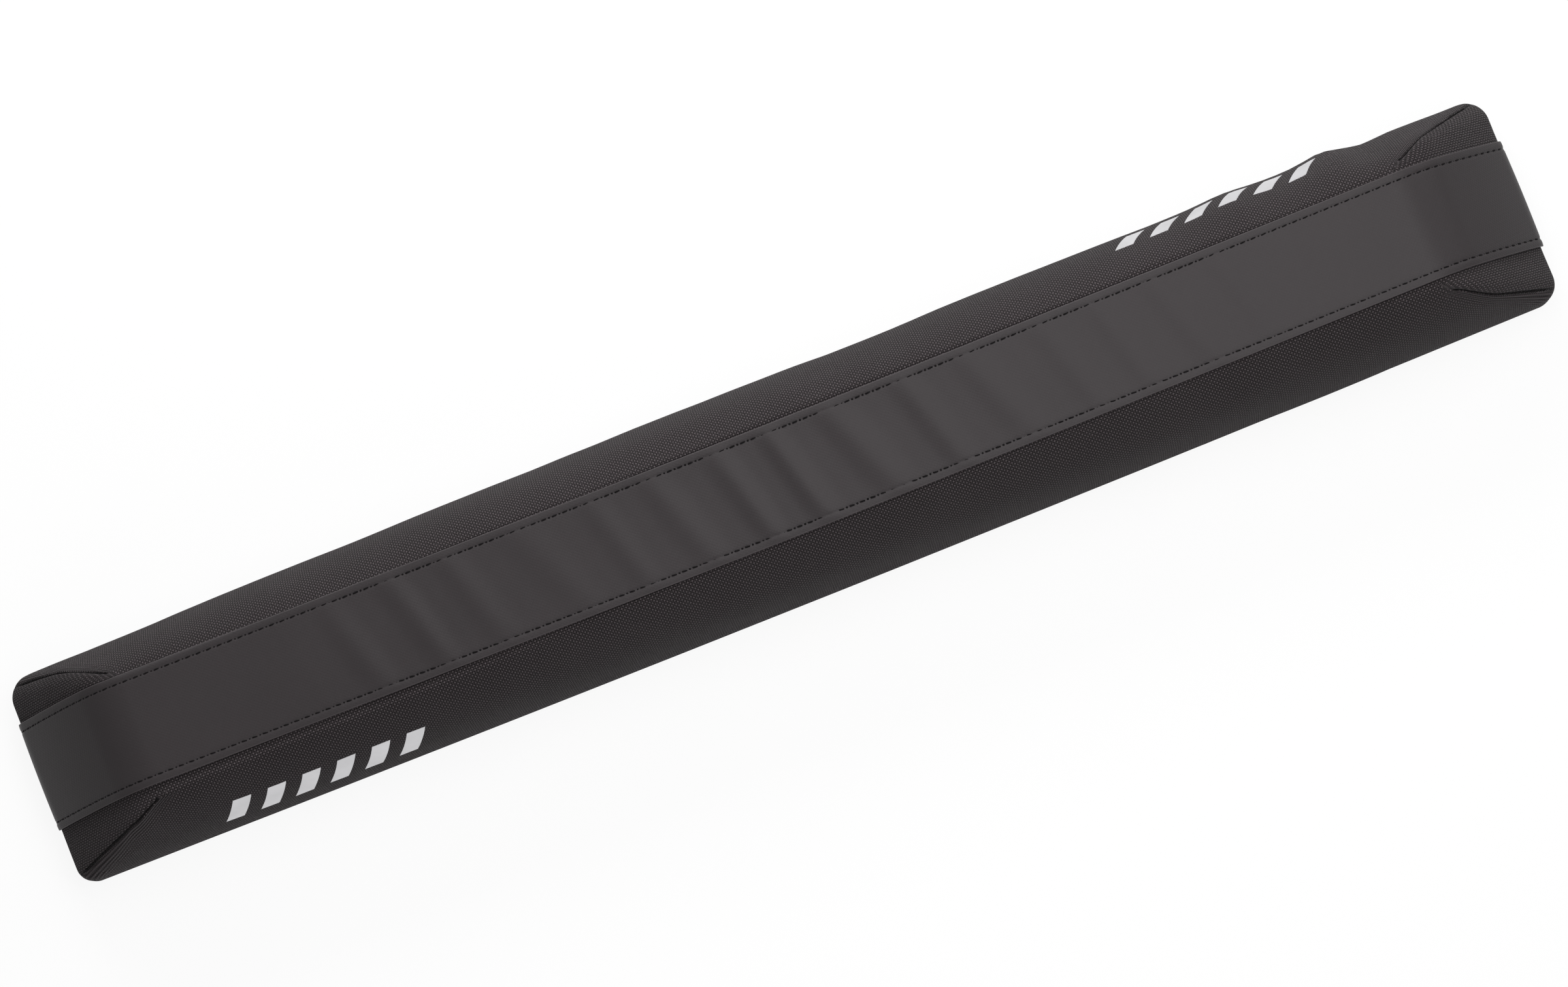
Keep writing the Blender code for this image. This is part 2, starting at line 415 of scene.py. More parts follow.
def ring_shape(down, inset, spread=0.0, slide_top=0.0, slide_foot=0.0, corner=CORNER_RADIUS):
    """Half length, half widths, radius, share down, seam's slide and foot radius at a level."""
    share = min(down / SLOPE_DROP, 1.0)
    half_x = PLATEAU_HALF_X + np.interp(down, END_CURVE[1], END_CURVE[0]) - inset
    half_y = PLATEAU_HALF_Y + np.interp(down, SIDE_CURVE[1], SIDE_CURVE[0]) - inset
    along_hip = np.interp(down, END_CURVE[1], END_CURVE[0]) / END_CURVE[0][-1]
    hip_start = PLATEAU_HALF_Y + spread * ease(down / HIP_SPREAD_DROP)
    hip_y = min(half_y, hip_start + (FOOT_HALF_Y - hip_start) * along_hip)
    radius = HIP_RADIUS + (corner - HIP_RADIUS) * share ** 0.7 - inset * share
    slide = (slide_top + (slide_foot - slide_top) * along_hip) * ease(down / HIP_SLIDE_DROP)
    return half_x, half_y, hip_y, radius, share, slide, corner


def ring_place(ring, distance, way):
    """Points on a ring at a distance from a hip, way 1 along the side and -1 along the end.

    Returns x, y and the cloth's own length along the side and across the end, unrolled.
    """
    half_x, half_y, hip_y, radius, share, slide, _ = ring
    around = way * distance + slide * np.clip(1 - distance / HIP_SLIDE_REACH, 0.0, 1.0) ** 2
    arc = radius * math.pi / 4
    turn = np.clip(around / radius, -math.pi / 4, math.pi / 4) + math.pi / 4
    x = half_x - radius + radius * np.cos(turn) - np.maximum(around - arc, 0.0)
    span = half_x - radius
    fade = np.clip((span - x) / HIP_FADE, 0.0, 1.0)
    swell = (half_y - hip_y) * (1 - (1 - fade) ** 2)
    bulge = SIDE_BULGE * share * np.clip(1 - (x / span) ** 2, 0.0, 1.0)
    y = hip_y - radius + radius * np.sin(turn) - np.maximum(-around - arc, 0.0) + swell + bulge
    return x, y, span + arc - around, hip_y - radius + arc + around


def side_stations(ring):
    """x, y, distance and unrolled length along half of a long side, from the hip seam."""
    half_x, radius = ring[0], ring[3]
    near = [step * SEAM_STEP for step in range(SEAM_STEPS + 1)]
    step = SEAM_STEP
    while near[-1] < NEAR_REACH:
        step *= STEP_GROWTH
        near.append(near[-1] + step)
    total = half_x - radius + radius * math.pi / 4
    mid = near[-1] + (total - near[-1]) * np.linspace(0, 1, MID_STEPS + 1)[1:]
    distance = np.concatenate((near, mid))
    x, y, along, _ = ring_place(ring, distance, 1.0)
    return x, y, distance, along


def end_stations(ring):
    """x, y, distance and unrolled width along half of an end, from the hip seam."""
    hip_y, radius = ring[2], ring[3]
    arc = radius * math.pi / 4
    leg = arc + (FOOT_HALF_Y - ring[-1] - CHANNEL_HALF_Y) - GAP
    total = arc + hip_y - radius
    rest = leg + (total - leg) * np.linspace(0, 1, END_STEPS + 1)[1:]
    distance = np.concatenate((np.linspace(0, leg, LEG_STEPS + 1), rest))
    x, y, _, across = ring_place(ring, distance, -1.0)
    return x, y, distance, across


def cover_rings():
    """Each level of the cover below the plateau: (down, inset, height, tuck, girth)."""
    rings = []
    for step in range(1, SLOPE_LEVELS + 1):
        t = step / SLOPE_LEVELS
        down = SLOPE_DROP * (t - LEVEL_CROWDING * math.sin(2 * math.pi * t) / (2 * math.pi))
        rings.append((down, 0.0, TOP - down, 0.0, np.interp(down, SIDE_CURVE[1], SIDE_TRAVEL)))
    girth = SIDE_TRAVEL[-1]
    for step in range(1, FOOT_LEVELS + 1):
        height = FOOT_Z + (BOTTOM_ROUND - FOOT_Z) * step / FOOT_LEVELS
        rings.append((SLOPE_DROP, 0.0, height, 0.0, girth + FOOT_Z - height))
    girth += FOOT_Z - BOTTOM_ROUND
    for step in range(1, ROUND_LEVELS + 1):
        angle = math.pi / 2 * step / ROUND_LEVELS
        rings.append((SLOPE_DROP, BOTTOM_ROUND * (1 - math.cos(angle)),
                      BOTTOM_ROUND * (1 - math.sin(angle)), 0.0, girth + BOTTOM_ROUND * angle))
    girth += BOTTOM_ROUND * math.pi / 2
    under = FOOT_HALF_Y - BOTTOM_ROUND - CHANNEL_HALF_Y
    for step in range(1, TUCK_LEVELS + 1):
        tuck = step / TUCK_LEVELS
        rings.append((SLOPE_DROP, BOTTOM_ROUND, 0.0, tuck, girth + under * tuck))
    return rings


def cloth_cage():
    """Grid for the plateau whose rim is extruded once for every level below it."""
    side_steps = len(side_stations(ring_shape(0.0, 0.0))[0]) - 1
    columns, rows = 2 * side_steps, 2 * (LEG_STEPS + END_STEPS)
    cover = add_grid("cover", columns, rows)
    edit_all(cover)
    bpy.ops.mesh.region_to_loop()
    for _ in cover_rings():
        bpy.ops.mesh.extrude_edges_move(TRANSFORM_OT_translate={"value": (0.0, 0.0, -1.0)})
    bpy.ops.object.mode_set(mode="OBJECT")
    return cover, columns, rows


def drape_cover():
    """The cover's cloth laid over the loaf, with a record of where each vertex lies on it."""
    cover, columns, rows = cloth_cage()
    column, row, co = grid_cells(cover, columns, rows)
    level = np.rint(-co[:, 2]).astype(int)
    points = np.zeros_like(co)
    seam_distance = np.full(len(co), 1.0)
    girth = np.zeros(len(co))
    unrolled = np.zeros(len(co))
    unrolled_end = np.zeros(len(co))
    on_end = (column == 0) | (column == columns)
    on_side = (row == 0) | (row == rows)
    sign_x = np.where(column < columns / 2, -1.0, 1.0)
    sign_y = np.where(row < rows / 2, -1.0, 1.0)
    from_hip_x = np.minimum(column, columns - column)
    from_hip_y = np.minimum(row, rows - row)

    rings = [(0.0, 0.0, TOP, 0.0, 0.0)] + cover_rings()
    for number, (down, inset, height, tuck, way) in enumerate(rings):
        girth[level == number] = way
        for (end_sign, side_sign), hip in HIPS.items():
            here = (level == number) & (sign_x == end_sign) & (sign_y == side_sign)
            shape = ring_shape(down, inset, *hip[:-1])
            side_x, side_y, side_distance, side_along = side_stations(shape)
            end_x, end_y, end_distance, end_across = end_stations(shape)
            inner = here & ~on_end & ~on_side
            points[inner, 0] = side_x[from_hip_x[inner]]
            points[inner, 1] = end_y[from_hip_y[inner]]
            side = here & on_side
            points[side, 0] = side_x[from_hip_x[side]]
            points[side, 1] = side_y[from_hip_x[side]]
            seam_distance[side] = side_distance[from_hip_x[side]]
            unrolled[side] = side_along[from_hip_x[side]]
            end = here & on_end
            points[end, 0] = end_x[from_hip_y[end]]
            points[end, 1] = end_y[from_hip_y[end]]
            seam_distance[end] = end_distance[from_hip_y[end]]
            unrolled_end[end] = end_across[from_hip_y[end]]
            wide = here & (points[:, 1] > CHANNEL_HALF_Y)
            points[wide, 1] += (CHANNEL_HALF_Y - points[wide, 1]) * tuck * TUCK_SHARE
            points[here, 2] = height
    points[:, 0] *= sign_x
    points[:, 1] *= sign_y
    place_vertices(cover, points)
    facts = {"level": level, "distance": seam_distance, "girth": girth, "on_end": on_end,
             "along": unrolled, "across": unrolled_end,
             "on_side": on_side, "sign_x": sign_x, "sign_y": sign_y, "from_hip_y": from_hip_y}
    return cover, open_slots(cover, facts)


def seam_top(facts):
    """How far below the plateau the nearest hip seam begins, for each vertex."""
    top = np.zeros(len(facts["level"]))
    for (end_sign, side_sign), hip in HIPS.items():
        top[(facts["sign_x"] == end_sign) & (facts["sign_y"] == side_sign)] = hip[-1]
    return top


def lay_weave(cover, facts):
    """UV map in metres of cloth, with threads along the pad, and each point's way from a hip."""
    mesh = cover.data
    corner_vertex = corner_vertices(cover)
    starts = np.empty(len(mesh.polygons), np.int32)
    totals = np.empty(len(mesh.polygons), np.int32)
    mesh.polygons.foreach_get("loop_start", starts)
    mesh.polygons.foreach_get("loop_total", totals)
    face_of_corner = np.repeat(np.arange(len(starts)), totals)
    below = np.maximum.reduceat(facts["level"][corner_vertex], starts) > 0
    all_end = np.minimum.reduceat(facts["on_end"][corner_vertex].astype(int), starts) > 0
    end_face = (below & all_end)[face_of_corner]
    side_face = (below & ~all_end)[face_of_corner]

    points = coordinates(cover)[corner_vertex]
    uv = points[:, :2].copy()
    down = np.clip(TOP - points[:, 2], 0.0, SLOPE_DROP)
    run = PLATEAU_HALF_X + np.interp(down, END_CURVE[1], END_TRAVEL)
    sign_x, sign_y = facts["sign_x"][corner_vertex], facts["sign_y"][corner_vertex]
    uv[end_face, 0] = (sign_x * run)[end_face]
    uv[end_face, 1] = (sign_y * facts["across"][corner_vertex])[end_face]
    uv[side_face, 0] = (sign_x * facts["along"][corner_vertex])[side_face]
    uv[side_face, 1] = (sign_y * (PLATEAU_HALF_Y + facts["girth"][corner_vertex]))[side_face]
    write_uv(cover, uv)
    way = np.where(facts["on_side"], HIP_LEAN, -HIP_LEAN) * facts["distance"]
    down = TOP - coordinates(cover)[:, 2]
    way[(down < seam_top(facts)) | (down > SLOPE_DROP)] = -1.0
    cover.data.attributes.new("hip_way", "FLOAT", "POINT").data.foreach_set("value", way)


def open_slots(cover, facts):
    """Cut the mouths of the bar channel out of both end walls; returns the facts that stay."""
    slot = facts["on_end"] & (facts["from_hip_y"] >= LEG_STEPS) & (facts["level"] >= SLOPE_LEVELS)
    edit_all(cover, "DESELECT")
    bpy.ops.object.mode_set(mode="OBJECT")
    kept = np.zeros(len(slot), bool)
    for polygon in cover.data.polygons:
        corners = list(polygon.vertices)
        polygon.select = bool(slot[corners].all()) or polygon.area < SLIVER_AREA
        if not polygon.select:
            kept[corners] = True
    bpy.ops.object.mode_set(mode="EDIT")
    bpy.ops.mesh.delete(type="ONLY_FACE")
    bpy.ops.mesh.select_all(action="SELECT")
    bpy.ops.mesh.delete_loose(use_verts=True, use_edges=True, use_faces=False)
    bpy.ops.object.mode_set(mode="OBJECT")
    return {name: values[kept] for name, values in facts.items()}


def stuff(cover, facts):
    """Swell the free panels of the cover between the lines where it is sewn or held."""
    before = coordinates(cover)
    under_strip = (facts["level"] == 0) | (facts["on_end"] & (np.abs(before[:, 1]) < STRIP_HALF_Y))
    at_seam = facts["distance"] < SEAM_STEP / 2
    at_foot = before[:, 2] <= FOOT_Z + HELD_ABOVE_FOOT
    held = np.nonzero(under_strip | at_seam | at_foot)[0]
    group = cover.vertex_groups.new(name="sewn")
    group.add(held.tolist(), 1.0, "REPLACE")
    cloth = cover.modifiers.new("stuffing", "CLOTH")
    for name, value in CLOTH_SETTINGS.items():
        setattr(cloth.settings, name, value)
    cloth.settings.effector_weights.gravity = 0.0
    cloth.collision_settings.use_collision = False
    cloth.collision_settings.use_self_collision = False
    for number in range(1, SWELL_FRAMES + 1):
        bpy.context.scene.frame_set(number)
    apply_all(cover)
    cover.vertex_groups.clear()
    moved = coordinates(cover) - before
    length = np.linalg.norm(moved, axis=1)
    print("swell: most %.4f, mean %.4f" % (length.max(), length.mean()))
    kept = np.minimum(1.0, SWELL_CAP / np.maximum(length, 1e-9))
    place_vertices(cover, before + moved * kept[:, None])


def sew_hips(cover, facts):
    """Sink the hip seams and add the cloth's soft dents."""
    points = coordinates(cover)
    normals = vertex_normals(cover)
    distance = facts["distance"]
    down = TOP - points[:, 2]
    on_slope = (facts["level"] > 0) & (points[:, 2] > BOTTOM_ROUND)
    fade = ease((down - seam_top(facts)) / SEAM_FADE) \
        * ease((points[:, 2] - SEAM_FOOT_FADE) / SEAM_FOOT_FADE)
    shift = np.zeros(len(points))

    pocket = 1 + SEAM_POCKET * np.exp(-(down / SEAM_POCKET_DROP - 1) ** 2)
    groove = -SEAM_DEPTH * pocket * np.exp(-(distance / SEAM_WIDTH) ** 2)
    shift += np.where(on_slope, groove * fade, 0.0)

    for index in np.nonzero(facts["level"] > 0)[0]:
        x, y, z = points[index]
        calm = min(1.0, distance[index] / CALM_FROM_SEAM) \
            * min(1.0, max(0.0, (z - 0.002) / CALM_FROM_FOOT))
        slow = noise.noise(Vector((x * 14, y * 20, z * 20 + 3.0)))
        quick = noise.noise(Vector((x * 60 + 7.0, y * 70, z * 70)))
        shift[index] += calm * (SLOW_SWELL * slow + QUICK_SWELL * quick)
    for x, side, height, width in SIDE_DENTS:
        near = np.exp(-((points[:, 0] - x) / width) ** 2) * (np.sign(points[:, 1]) == side)
        lasts = ease(down / DENT_DROP) * ease((points[:, 2] - BOTTOM_ROUND) / CALM_FROM_FOOT)
        shift += height * near * lasts * (facts["level"] > 0)
    place_vertices(cover, points + normals * shift[:, None])


def hip_line(cover, facts, sign_x, sign_y):
    """Points of one hip seam, from the plateau's corner to the foot."""
    points = coordinates(cover)
    chosen = (facts["distance"] < SEAM_STEP / 2) & (facts["sign_x"] == sign_x) \
        & (facts["sign_y"] == sign_y) & (points[:, 2] > HIP_SEAM_LOW_Z)
    chosen &= (facts["level"] > 0) & (TOP - points[:, 2] > seam_top(facts))
    order = np.argsort(facts["level"][chosen])
    return points[chosen][order]


def make_cover():
    cover, facts = drape_cover()
    lay_weave(cover, facts)
    stuff(cover, facts)
    sew_hips(cover, facts)
    seams = [hip_line(cover, facts, sx, sy) for sx in (-1.0, 1.0) for sy in (-1.0, 1.0)]
    thicken(cover, COVER_THICKNESS)
    apply_all(cover)
    smooth(cover, 70.0)
    cover.data.materials.append(
        woven("cover_weave", COVER_COLOUR, COVER_THREADS, COVER_RELIEF, ribs=True))
    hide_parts("cover_shell")
    settle(cover)
    return cover, seams


def make_core():
    """Foam block under the cover, eased back from the seams."""
    only(frame["nodes"]["foam_core"])
    bpy.ops.object.duplicate()
    core = bpy.context.object
    core.name = "core"
    core.parent = None
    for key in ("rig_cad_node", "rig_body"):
        if key in core:
            del core[key]
    edit_all(core)
    bpy.ops.mesh.remove_doubles(threshold=0.00002)
    bpy.ops.mesh.normals_make_consistent(inside=False)
    bpy.ops.transform.shrink_fatten(value=-CORE_EASE, use_even_offset=True)
    bpy.ops.object.mode_set(mode="OBJECT")
    round_edges(core, 0.002, 2, 40.0)
    apply_all(core)
    smooth(core, 40.0)
    core.data.materials.clear()
    core.data.materials.append(foam())
    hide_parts("foam_core")
    settle(core)
    return core


# Grip strip

def ridge(s, lift):
    """Point (x, z) and tilt at distance s along the cover's ridge line, lifted off the cloth."""
    side = np.where(s < 0, -1.0, 1.0)
    away = np.abs(s)
    tilt = np.interp(away, RIDGE_TRAVEL, RIDGE_TILT)
    x = np.interp(away, RIDGE_TRAVEL, RIDGE_X) + lift * np.sin(tilt)
    z = np.interp(away, RIDGE_TRAVEL, RIDGE_Z) + lift * np.cos(tilt)
    return side * x, z


def strip_reach():
    """Distance along the ridge line from the middle to the strip's end."""
    return float(np.interp(TOP - STRIP_LOW.z, END_CURVE[1], END_TRAVEL)) + PLATEAU_HALF_X


def strip_drift(x):
    """How far the strip wanders sideways from the pad's middle line."""
    left = STRIP_DRIFT_LEFT * np.clip(-x / PLATEAU_HALF_X, 0.0, 1.1) ** 1.2
    right = STRIP_DRIFT_RIGHT * np.clip(x / PLATEAU_HALF_X, 0.0, 1.1) ** 2
    return left + right


def shoulder_drop(y):
    """How far the cover falls away beside its plateau at y."""
    return np.interp(np.abs(y) - PLATEAU_HALF_Y, SIDE_CURVE[0], SIDE_CURVE[1])


def strip_relief(s, y):
    """Height of the strip's face over a flat one: lips, stitch grooves and ripples."""
    edge = STRIP_HALF_Y - np.abs(y)
    lip = LIP_HEIGHT * np.sin(math.pi * np.clip(edge / STITCH_INSET, 0.0, 1.0))
    pull = 0.7 + 0.3 * np.cos(2 * math.pi * s / STITCH_PITCH)
    groove = STRIP_GROOVE_DEPTH * pull * np.exp(-((edge - STITCH_INSET) / STRIP_GROOVE_WIDTH) ** 2)
    warp = 0.0035 * np.sin(s * 31.0 + 0.6) + 0.002 * np.sin(s * 77.0)
    phase = 2 * math.pi * (s + RIPPLE_SLANT * y - RIPPLE_CREST + warp) / RIPPLE_LENGTH
    zone = ease((s - RIPPLE_FROM) / RIPPLE_FADE) * ease((RIPPLE_TO - s) / RIPPLE_FADE)
    middle = 1 - (y / STRIP_HALF_Y) ** 4
    strength = 0.75 + 0.35 * np.sin(s * 23.0 + 1.0)
    ripple = RIPPLE_HEIGHT * strength * zone * middle * (np.cos(phase) + 0.3 * np.cos(2 * phase))
    crown = STRIP_CROWN * (1 - (y / STRIP_HALF_Y) ** 2)
    return lip - groove + ripple + crown


def strip_point(s, y, lift):
    """Place on the strip at ridge distance s, across it at y, over the cover by lift."""
    x, z = ridge(s, lift)
    place_y = y + strip_drift(x)
    return np.stack((x, place_y, z - shoulder_drop(place_y) * (np.abs(s) < PLATEAU_HALF_X + 0.01)), 1)


def make_strip():
    reach = strip_reach()
    columns = int(2 * reach / (STITCH_PITCH / STRIP_STEPS_PER_STITCH))
    across = [0.0, 0.0005, 0.0011, 0.0018, 0.0025, 0.0031, 0.0036, 0.0040, 0.0044, 0.0049,
              0.0056, 0.0070, 0.0095, 0.0130, 0.0170, 0.0215, STRIP_HALF_Y]
    half = STRIP_HALF_Y - np.array(across)
    ys = np.concatenate((-half, half[::-1][1:]))
    strip = add_grid("strip", columns, len(ys) - 1)
    column, row, _ = grid_cells(strip, columns, len(ys) - 1)
    s = -reach + 2 * reach * column / columns
    y = ys[row]
    lift = GAP + STRIP_THICKNESS + strip_relief(s, y)
    place_vertices(strip, strip_point(s, y, lift))
    write_uv(strip, np.stack((s, y), 1)[corner_vertices(strip)])
    thicken(strip, STRIP_THICKNESS)
    round_edges(strip, 0.0003, 2, 50.0)
    apply_all(strip)
    smooth(strip, 60.0)
    strip.data.materials.append(grip_rubber())
    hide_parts("grip_strip")
    settle(strip)
    return strip


# Sewing

def thread_path(name, points):
    """Curve through the points that a row of stitches follows."""
    data = bpy.data.curves.new(name, "CURVE")
    data.dimensions = "3D"
    data.twist_mode = "Z_UP"
    line = data.splines.new("POLY")
    line.points.add(len(points) - 1)
    for point, place in zip(line.points, points):
        point.co = (*place, 1.0)
    path = bpy.data.objects.new(name, data)
    bpy.context.scene.collection.objects.link(path)
    return path


def sew(name, points, pitch, length, lean=0.0, thread=THREAD, hole=0.0, fray=0.0):
    """Row of stitches along the points: one stitch is modelled, repeated and bent to the path."""
    points = np.asarray(points, float)
    total = float(np.linalg.norm(np.diff(points, axis=0), axis=1).sum())
    bpy.ops.object.select_all(action="DESELECT")
    bpy.ops.mesh.primitive_uv_sphere_add(segments=8, ring_count=6, radius=thread / 2)
    row = bpy.context.object
    row.name = name
    row.data.name = name
    round_end = coordinates(row)
    round_end[:, 2] += np.sign(np.round(round_end[:, 2], 6)) * (length - thread) / 2
    place_vertices(row, round_end)
    row.rotation_euler = (0.0, math.radians(90.0), math.radians(lean))
    row.location = (pitch / 2, 0.0, 0.0)
    bpy.ops.object.transform_apply(location=True, rotation=True, scale=True)
    if hole:
        bpy.ops.object.select_all(action="DESELECT")
        bpy.ops.mesh.primitive_uv_sphere_add(segments=8, ring_count=5, radius=hole / 2)
        bpy.ops.transform.resize(value=(1.0, 1.0, 0.5))
        bpy.context.object.location = (0.0, 0.0, -thread * 0.15)
        bpy.ops.object.transform_apply(location=True, rotation=True, scale=True)
        join([row, bpy.context.object])
    repeat = row.modifiers.new("repeat", "ARRAY")
    repeat.use_relative_offset = False
    repeat.use_constant_offset = True
    repeat.constant_offset_displace = (pitch, 0.0, 0.0)
    repeat.count = max(1, int(total / pitch))
    path = thread_path(name + "_path", points)
    bend = row.modifiers.new("bend", "CURVE")
    bend.object = path
    bend.deform_axis = "POS_X"
    apply_all(row)
    bpy.data.objects.remove(path, do_unlink=True)
    if fray:
        worn = [p + noise.noise_vector(p * 900.0) * fray for p in map(Vector, coordinates(row))]
        place_vertices(row, worn)
    smooth(row, 80.0)
    row.data.materials.append(thread_finish())
    return settle(row)


def sew_strip():
    reach = strip_reach() - 0.0006
    s = np.linspace(-reach, reach, 640)
    for name, side in (("strip_stitches_near", -1.0), ("strip_stitches_far", 1.0)):
        y = np.full_like(s, side * (STRIP_HALF_Y - STITCH_INSET))
        lift = GAP + STRIP_THICKNESS - STRIP_GROOVE_DEPTH * 0.45
        sew(name, strip_point(s, y, lift), STITCH_PITCH, STITCH_PITCH * STITCH_SHARE, lean=5.0 * side,
            hole=NEEDLE_HOLE, fray=0.00008)


def sew_hip_rows(seams):
    names = ("left_near", "left_far", "right_near", "right_far")
    for name, seam in zip(names, seams):
        outward = Vector((np.sign(seam[-1][0]), np.sign(seam[-1][1]), 1.2)).normalized()
        sew("hip_stitches_" + name, seam + np.array(outward) * HIP_STITCH_LIFT, HIP_STITCH_PITCH,
            HIP_STITCH_PITCH * HIP_STITCH_SHARE, lean=9.0, thread=HIP_THREAD, hole=NEEDLE_HOLE, fray=0.0003)


# Closure under the pad

def ribbon(name, path, half_length, columns, thickness):
    """Cloth of one cross-section, a list of (y, z), along the pad."""
    rows = len(path) - 1
    cloth = add_grid(name, columns, rows)
    column, row, _ = grid_cells(cloth, columns, rows)
    path = np.array(path)
    x = -half_length + 2 * half_length * column / columns
    place_vertices(cloth, np.stack((x, path[row, 0], path[row, 1]), 1))
    way = np.concatenate(([0.0], np.cumsum(np.linalg.norm(np.diff(path, axis=0), axis=1))))
    write_uv(cloth, np.stack((x, way[row]), 1)[corner_vertices(cloth)])
    thicken(cloth, thickness, 0.0)
    apply_all(cloth)
    smooth(cloth, 50.0)
    return cloth, float(way[-1])


def arch_path(half_width, top, bottom, radius, steps=6):
    """Path (y, z) up one wall of the channel, across its roof and down the other wall."""
    path = [(-half_width, bottom + (top - radius - bottom) * step / 3) for step in range(3)]
    for step in range(steps + 1):
        angle = math.pi / 2 * step / steps
        path.append((-half_width + radius * (1 - math.cos(angle)),
                     top - radius * (1 - math.sin(angle))))
    roof = half_width - radius
    path += [(-roof + 2 * roof * step / 12, top) for step in range(1, 12)]
    return path + [(-y, z) for y, z in path[:3 + steps + 1][::-1]]


def make_liner():
    half = LINER_THICKNESS / 2
    path = arch_path(CHANNEL_HALF_Y + half, FOOT_Z + half, LINER_LOW.z, CHANNEL_ROUND + half)
    liner, girth = ribbon("liner", path, LINER_HIGH.x, 120, LINER_THICKNESS)
    liner.data.materials.append(
        woven("liner_weave", LINER_COLOUR, LINER_THREADS, LINER_RELIEF))
    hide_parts("channel_liner")
    settle(liner)


def folded_hem(y, z, direction, width, steps=4):
    """Path of a hem that turns up and back from the free edge at (y, z)."""
    radius = FLAP_THICKNESS / 2
    turn = []
    for step in range(1, steps + 1):
        angle = math.pi * step / steps
        turn.append((y - direction * radius * (1 - math.sin(angle)),
                     z + radius * (1 - math.cos(angle))))
    return turn + [(y - direction * width, z + 2 * radius)]


def near_flap_path():
    root, free = NEAR_FLAP_LOW.y, NEAR_FLAP_HIGH.y
    z = FLAP_THICKNESS / 2
    flat = [(root + (free - FLAP_THICKNESS - root) * step / 20, z) for step in range(21)]
    return flat + folded_hem(free - 0.0001, z, 1.0, HEM_WIDTH)


def far_flap_path():
    root, free = FAR_FLAP_HIGH.y, FAR_FLAP_LOW.y
    low = FLAP_THICKNESS / 2
    high = FAR_FLAP_HIGH.z - 2 * FLAP_THICKNESS + low
    foot, crest = root - FLAP_FOOT, root - FLAP_CREST
    path = [(root, low), (root - 0.002, low)]
    for step in range(9):
        t = step / 8
        path.append((foot + (crest - foot) * t, low + (high - low) * float(ease(t))))
    end = free + FLAP_THICKNESS
    path += [(crest + (end - crest) * step / 16, high) for step in range(1, 17)]
    return path + folded_hem(free + 0.0001, high, -1.0, HEM_WIDTH)


def make_flap(name, path, node):
    flap, width = ribbon(name, path, NEAR_FLAP_HIGH.x, 160, FLAP_THICKNESS)
    flap.data.materials.append(
        woven(node + "_weave", FLAP_COLOUR, COVER_THREADS, FLAP_RELIEF))
    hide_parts(node)
    settle(flap)


def make_tape(name, node, finish):
    low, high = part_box(node)
    middle = (low.z + high.z) / 2
    path = [(low.y + (high.y - low.y) * step / 12, middle) for step in range(13)]
    tape, width = ribbon(name, path, high.x, 120, high.z - low.z)
    round_edges(tape, TAPE_ROUND, 2, 60.0)
    apply_all(tape)
    tape.data.materials.append(finish)
    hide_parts(node)
    settle(tape)


def straight(y, z, half_length):
    return [(-half_length + 2 * half_length * step / 60, y, z) for step in range(61)]


def sew_closure():
    half = NEAR_FLAP_HIGH.x - 0.004
    tape_low, tape_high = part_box("loop_tape")
    under, inset = THREAD_SUNK, TAPE_STITCH_INSET
    rows = {
        "loop_tape_stitches_near": (tape_low.y + inset, under, tape_high.x - inset),
        "loop_tape_stitches_far": (tape_high.y - inset, under, tape_high.x - inset),
        "near_hem_stitches": (NEAR_FLAP_HIGH.y - HEM_STITCH_INSET, under, half),
        "far_hem_stitches": (FAR_FLAP_LOW.y + HEM_STITCH_INSET, FAR_FLAP_HIGH.z, half),
        "near_flap_seam": (NEAR_FLAP_LOW.y + inset, under, half),
        "near_edge_stitches": (-CHANNEL_HALF_Y - 0.0025, under, HALF_X - 0.008),
        "far_edge_stitches": (CHANNEL_HALF_Y + 0.0025, under, HALF_X - 0.008),
    }
    for name, (y, z, reach) in rows.items():
        sew(name, straight(y, z, reach), HEM_STITCH_PITCH, HEM_STITCH_PITCH * HEM_STITCH_SHARE,
            thread=THREAD * 0.8)


# Silver transfer bars

def make_bars(name, cover, middle_x, side, low_z):
    """Row of leaning silver bars, pressed on to one long side of the cover."""
    bars = []
    for number in range(BAR_COUNT):
        bar = add_grid("bar", BAR_COLUMNS, BAR_ROWS)
        column, row, _ = grid_cells(bar, BAR_COLUMNS, BAR_ROWS)
        across = (column / BAR_COLUMNS - 0.5) * BAR_WIDTH
        up = row / BAR_ROWS
        x = middle_x + (number - (BAR_COUNT - 1) / 2) * BAR_PITCH + across
        x = x + side * BAR_LEAN * (0.5 - up)
        z = low_z + (BAR_HIGH_Z - low_z) * up
        place_vertices(bar, np.stack((x, np.full_like(x, side * BAR_START_Y), z), 1))
        press = bar.modifiers.new("press", "SHRINKWRAP")
        press.target = cover
        press.wrap_method = "PROJECT"
        press.use_project_y = True
        press.use_negative_direction = True
        press.use_positive_direction = True
        apply_all(bar)
        if side > 0:
            edit_all(bar)
            bpy.ops.mesh.flip_normals()
            bpy.ops.object.mode_set(mode="OBJECT")
        thicken(bar, FILM_THICKNESS, 1.0)
        apply_all(bar)
        bars.append(bar)
    film = join(bars)
    film.name = name
    film.data.name = name
    smooth(film, 50.0)
    film.data.materials.append(silver_film())
    return settle(film)


# Materials

def new_material(name):
    """New material with its node tree and its shader."""
    material = bpy.data.materials.new(name)
    material.use_nodes = True
    return material, material.node_tree, material.node_tree.nodes["Principled BSDF"]


